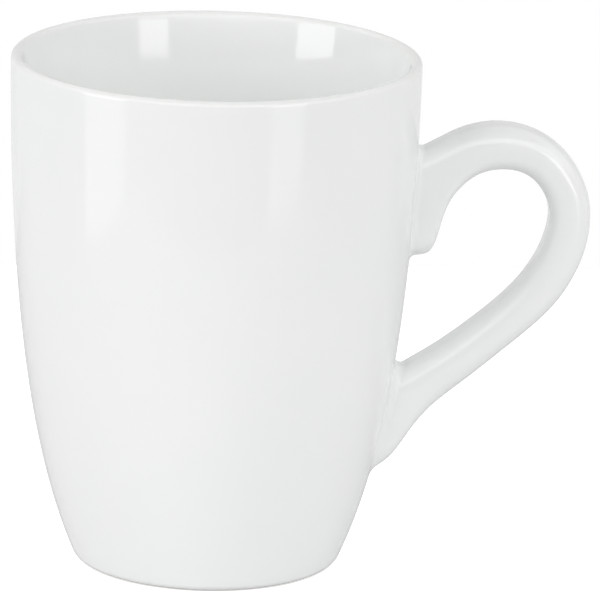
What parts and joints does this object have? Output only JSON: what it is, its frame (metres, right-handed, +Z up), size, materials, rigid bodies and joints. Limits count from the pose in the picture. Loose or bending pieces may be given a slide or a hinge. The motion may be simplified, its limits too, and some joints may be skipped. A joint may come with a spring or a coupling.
{
  "type": "mug",
  "caption": "Glazed ceramic mug: a full-bellied cup on a turned foot ring, with a cast ear handle luted to its wall.",
  "frame": {"origin": "on the cup's axis, in the plane that the foot ring rests on", "axes": "+Z up along the cup's axis, +X towards the handle, +Y completes a right-handed frame"},
  "size_m": [0.1124, 0.079, 0.1],
  "materials": {
    "body_glaze": "clear gloss glaze over a white body",
    "handle_glaze": "clear gloss glaze over a white body",
    "slip_glaze": "clear gloss glaze over white slip"
  },
  "bodies": {
    "root": {"mug_body": "body_glaze", "handle": "handle_glaze", "upper_slip_joint": "slip_glaze", "lower_slip_joint": "slip_glaze"}
  },
  "joints": []
}
